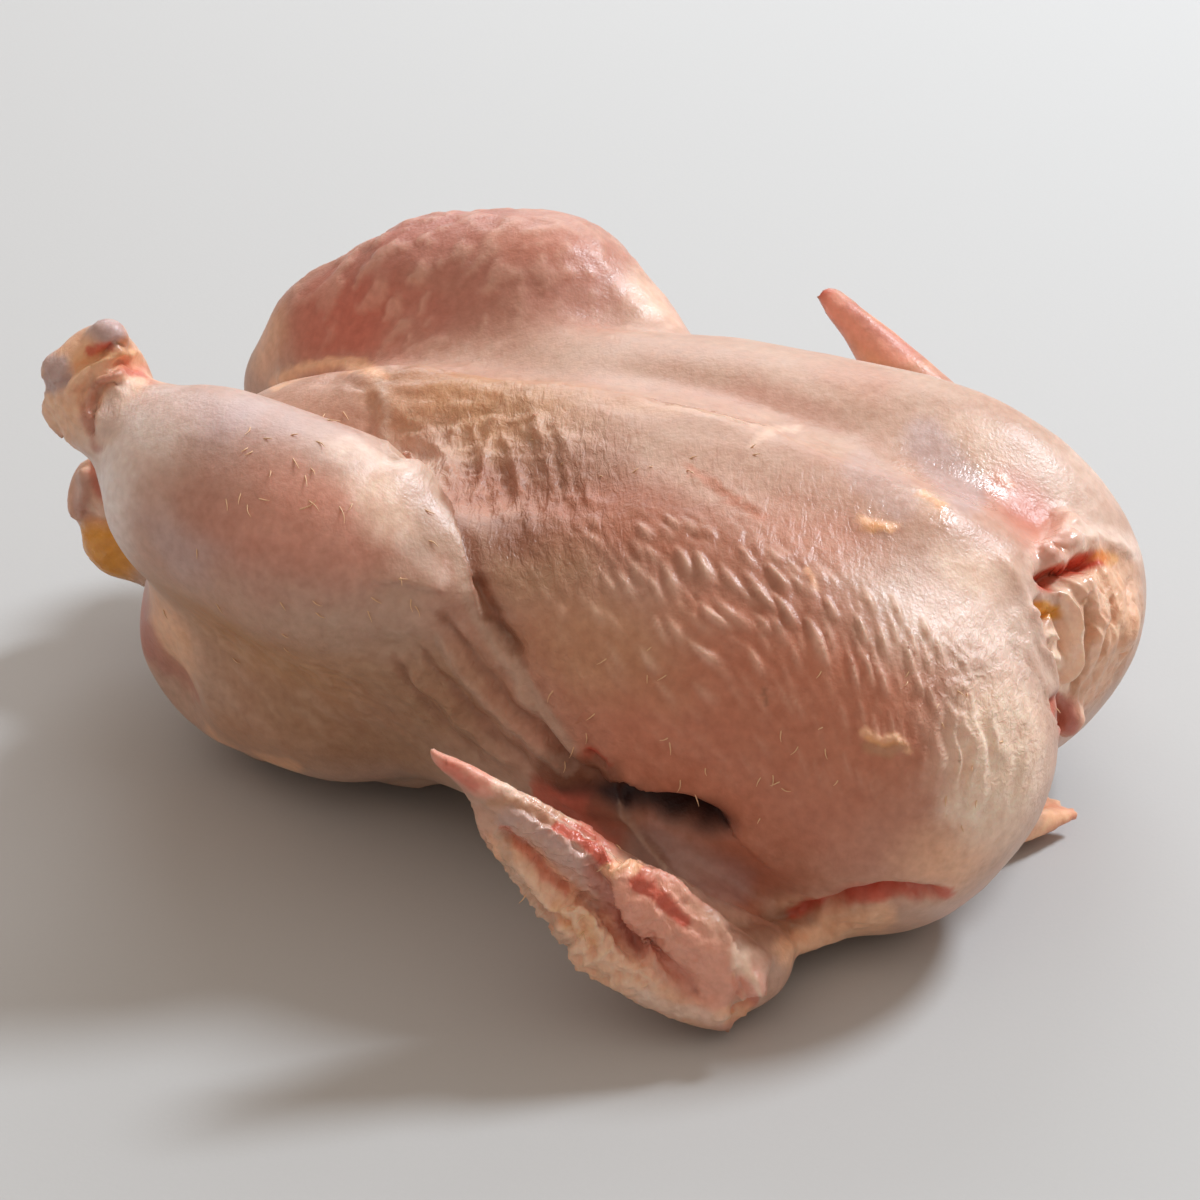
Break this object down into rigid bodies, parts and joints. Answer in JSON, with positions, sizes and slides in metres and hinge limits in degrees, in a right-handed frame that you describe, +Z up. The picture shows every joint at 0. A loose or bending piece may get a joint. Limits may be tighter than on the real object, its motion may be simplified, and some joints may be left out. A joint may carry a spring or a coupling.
{
  "type": "whole raw chicken",
  "caption": "A whole raw dressed chicken lying on its back, legs folded back, wings beside the body, neck skin tucked in at the front, hollow open at the rear.",
  "frame": {"origin": "on the table, at the middle of the flat spot that the back rests on, about the middle of the bird", "axes": "+X runs along the bird to its neck end, +Y to the bird's right side, +Z up from the table"},
  "size_m": [0.2683, 0.2272, 0.1125],
  "materials": {
    "skin": "moist, pale pink and cream raw skin"
  },
  "bodies": {
    "root": {"chicken": "skin"}
  },
  "joints": []
}
